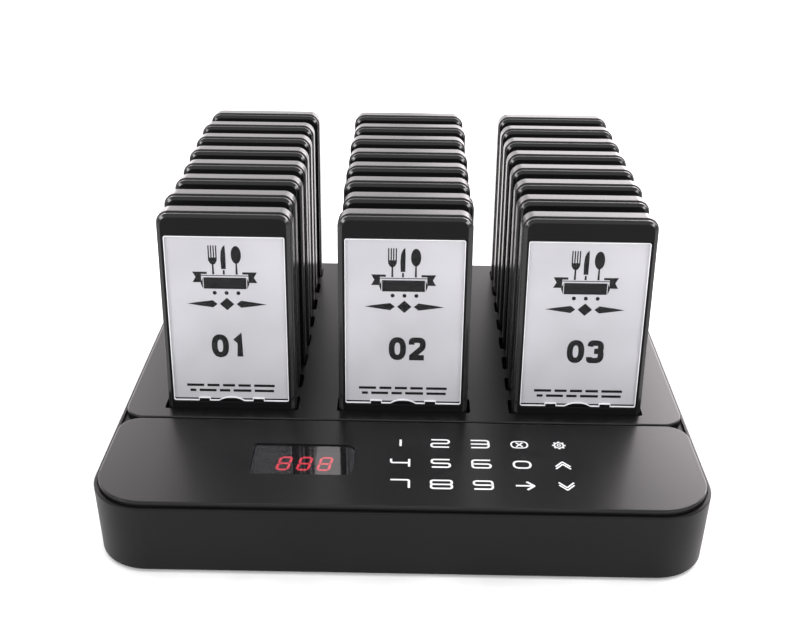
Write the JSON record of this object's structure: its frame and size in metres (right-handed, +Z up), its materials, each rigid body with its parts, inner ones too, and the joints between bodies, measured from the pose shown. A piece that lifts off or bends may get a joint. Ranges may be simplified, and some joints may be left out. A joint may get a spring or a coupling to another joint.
{
  "type": "restaurant pager set",
  "caption": "Rounded charging base with a flush touch keypad and red digit display, holding rows of card-shaped pagers that lift out of their slots.",
  "frame": {"origin": "middle of the base at the height of the surface that it stands on", "axes": "+Z up, +X to the right along the keypad rows and the longest extent, the keypad at the -Y side and the pagers behind it"},
  "size_m": [0.2714, 0.252, 0.1344],
  "materials": {
    "base_plastic": "fine moulded satin",
    "panel_plastic": "smooth satin",
    "inner_plastic": "plain moulded",
    "pager_plastic": "fine moulded satin",
    "smoked_window": "polished, smoked",
    "clear_window": "polished, clear",
    "label_card": "printed matt card",
    "display_module": "red lit segments on a black face",
    "circuit_board": "solder mask",
    "battery_foil": "wrapped foil cell",
    "spring_steel": "plated wire",
    "shield_can": "plated sheet",
    "gold_contact": "plated",
    "screw_steel": "zinc plated",
    "rubber": "plain"
  },
  "bodies": {
    "base": {"antenna": "spring_steel", "board_screws": "screw_steel", "bottom_cover": "base_plastic", "buzzer": "inner_plastic", "charge_boards": "circuit_board", "charge_pins": "gold_contact", "cover_screws": "screw_steel", "display_module": "display_module", "display_window": "smoked_window", "dock_panel": "panel_plastic", "keypad_panel": "panel_plastic", "main_board": "circuit_board", "power_inlet": "inner_plastic", "radio_module": "shield_can", "rubber_feet": "rubber", "slot_tray_centre": "inner_plastic", "slot_tray_left": "inner_plastic", "slot_tray_right": "inner_plastic", "touch_board": "circuit_board", "touch_springs": "spring_steel", "upper_housing": "base_plastic"},
    "pager_01": {"pager_01_battery": "battery_foil", "pager_01_charging_contacts": "gold_contact", "pager_01_circuit_board": "circuit_board", "pager_01_front_shell": "pager_plastic", "pager_01_label_card": "label_card", "pager_01_rear_shell": "pager_plastic", "pager_01_vibration_motor": "screw_steel"},
    "pager_01_window": {"pager_01_label_window": "clear_window"},
    "pager_02": {"pager_02_electronics": "circuit_board", "pager_02_front_shell": "pager_plastic", "pager_02_label_card": "label_card", "pager_02_rear_shell": "pager_plastic"},
    "pager_02_window": {"pager_02_label_window": "clear_window"},
    "pager_03": {"pager_03_electronics": "circuit_board", "pager_03_front_shell": "pager_plastic", "pager_03_label_card": "label_card", "pager_03_rear_shell": "pager_plastic"},
    "pager_03_window": {"pager_03_label_window": "clear_window"},
    "pager_04": {"pager_04": "pager_plastic"},
    "pager_05": {"pager_05": "pager_plastic"},
    "pager_06": {"pager_06": "pager_plastic"},
    "pager_07": {"pager_07": "pager_plastic"},
    "pager_08": {"pager_08": "pager_plastic"},
    "pager_09": {"pager_09": "pager_plastic"},
    "pager_10": {"pager_10": "pager_plastic"},
    "pager_11": {"pager_11": "pager_plastic"},
    "pager_12": {"pager_12": "pager_plastic"},
    "pager_13": {"pager_13": "pager_plastic"},
    "pager_14": {"pager_14": "pager_plastic"},
    "pager_15": {"pager_15": "pager_plastic"},
    "pager_16": {"pager_16": "pager_plastic"},
    "pager_17": {"pager_17": "pager_plastic"},
    "pager_18": {"pager_18": "pager_plastic"},
    "pager_19": {"pager_19": "pager_plastic"},
    "pager_20": {"pager_20": "pager_plastic"},
    "pager_21": {"pager_21": "pager_plastic"},
    "pager_22": {"pager_22": "pager_plastic"},
    "pager_23": {"pager_23": "pager_plastic"},
    "pager_24": {"pager_24": "pager_plastic"}
  },
  "joints": [
    {"name": "pager_01_lift", "type": "slide", "parent": "base", "child": "pager_01", "axis": [0, 0.0872, 0.9962], "range_m": [0, 0.05]},
    {"name": "pager_02_lift", "type": "slide", "parent": "base", "child": "pager_02", "axis": [0, 0.0872, 0.9962], "range_m": [0, 0.05]},
    {"name": "pager_03_lift", "type": "slide", "parent": "base", "child": "pager_03", "axis": [0, 0.0872, 0.9962], "range_m": [0, 0.05]},
    {"name": "pager_04_lift", "type": "slide", "parent": "base", "child": "pager_04", "axis": [0, 0.0872, 0.9962], "range_m": [0, 0.05]},
    {"name": "pager_05_lift", "type": "slide", "parent": "base", "child": "pager_05", "axis": [0, 0.0872, 0.9962], "range_m": [0, 0.05]},
    {"name": "pager_06_lift", "type": "slide", "parent": "base", "child": "pager_06", "axis": [0, 0.0872, 0.9962], "range_m": [0, 0.05]},
    {"name": "pager_07_lift", "type": "slide", "parent": "base", "child": "pager_07", "axis": [0, 0.0872, 0.9962], "range_m": [0, 0.05]},
    {"name": "pager_08_lift", "type": "slide", "parent": "base", "child": "pager_08", "axis": [0, 0.0872, 0.9962], "range_m": [0, 0.05]},
    {"name": "pager_09_lift", "type": "slide", "parent": "base", "child": "pager_09", "axis": [0, 0.0872, 0.9962], "range_m": [0, 0.05]},
    {"name": "pager_10_lift", "type": "slide", "parent": "base", "child": "pager_10", "axis": [0, 0.0872, 0.9962], "range_m": [0, 0.05]},
    {"name": "pager_11_lift", "type": "slide", "parent": "base", "child": "pager_11", "axis": [0, 0.0872, 0.9962], "range_m": [0, 0.05]},
    {"name": "pager_12_lift", "type": "slide", "parent": "base", "child": "pager_12", "axis": [0, 0.0872, 0.9962], "range_m": [0, 0.05]},
    {"name": "pager_13_lift", "type": "slide", "parent": "base", "child": "pager_13", "axis": [0, 0.0872, 0.9962], "range_m": [0, 0.05]},
    {"name": "pager_14_lift", "type": "slide", "parent": "base", "child": "pager_14", "axis": [0, 0.0872, 0.9962], "range_m": [0, 0.05]},
    {"name": "pager_15_lift", "type": "slide", "parent": "base", "child": "pager_15", "axis": [0, 0.0872, 0.9962], "range_m": [0, 0.05]},
    {"name": "pager_16_lift", "type": "slide", "parent": "base", "child": "pager_16", "axis": [0, 0.0872, 0.9962], "range_m": [0, 0.05]},
    {"name": "pager_17_lift", "type": "slide", "parent": "base", "child": "pager_17", "axis": [0, 0.0872, 0.9962], "range_m": [0, 0.05]},
    {"name": "pager_18_lift", "type": "slide", "parent": "base", "child": "pager_18", "axis": [0, 0.0872, 0.9962], "range_m": [0, 0.05]},
    {"name": "pager_19_lift", "type": "slide", "parent": "base", "child": "pager_19", "axis": [0, 0.0872, 0.9962], "range_m": [0, 0.05]},
    {"name": "pager_20_lift", "type": "slide", "parent": "base", "child": "pager_20", "axis": [0, 0.0872, 0.9962], "range_m": [0, 0.05]},
    {"name": "pager_21_lift", "type": "slide", "parent": "base", "child": "pager_21", "axis": [0, 0.0872, 0.9962], "range_m": [0, 0.05]},
    {"name": "pager_22_lift", "type": "slide", "parent": "base", "child": "pager_22", "axis": [0, 0.0872, 0.9962], "range_m": [0, 0.05]},
    {"name": "pager_23_lift", "type": "slide", "parent": "base", "child": "pager_23", "axis": [0, 0.0872, 0.9962], "range_m": [0, 0.05]},
    {"name": "pager_24_lift", "type": "slide", "parent": "base", "child": "pager_24", "axis": [0, 0.0872, 0.9962], "range_m": [0, 0.05]},
    {"name": "pager_01_window_removal", "type": "slide", "parent": "pager_01", "child": "pager_01_window", "axis": [0, -0.9962, 0.0872], "range_m": [0, 0.012]},
    {"name": "pager_02_window_removal", "type": "slide", "parent": "pager_02", "child": "pager_02_window", "axis": [0, -0.9962, 0.0872], "range_m": [0, 0.012]},
    {"name": "pager_03_window_removal", "type": "slide", "parent": "pager_03", "child": "pager_03_window", "axis": [0, -0.9962, 0.0872], "range_m": [0, 0.012]}
  ]
}
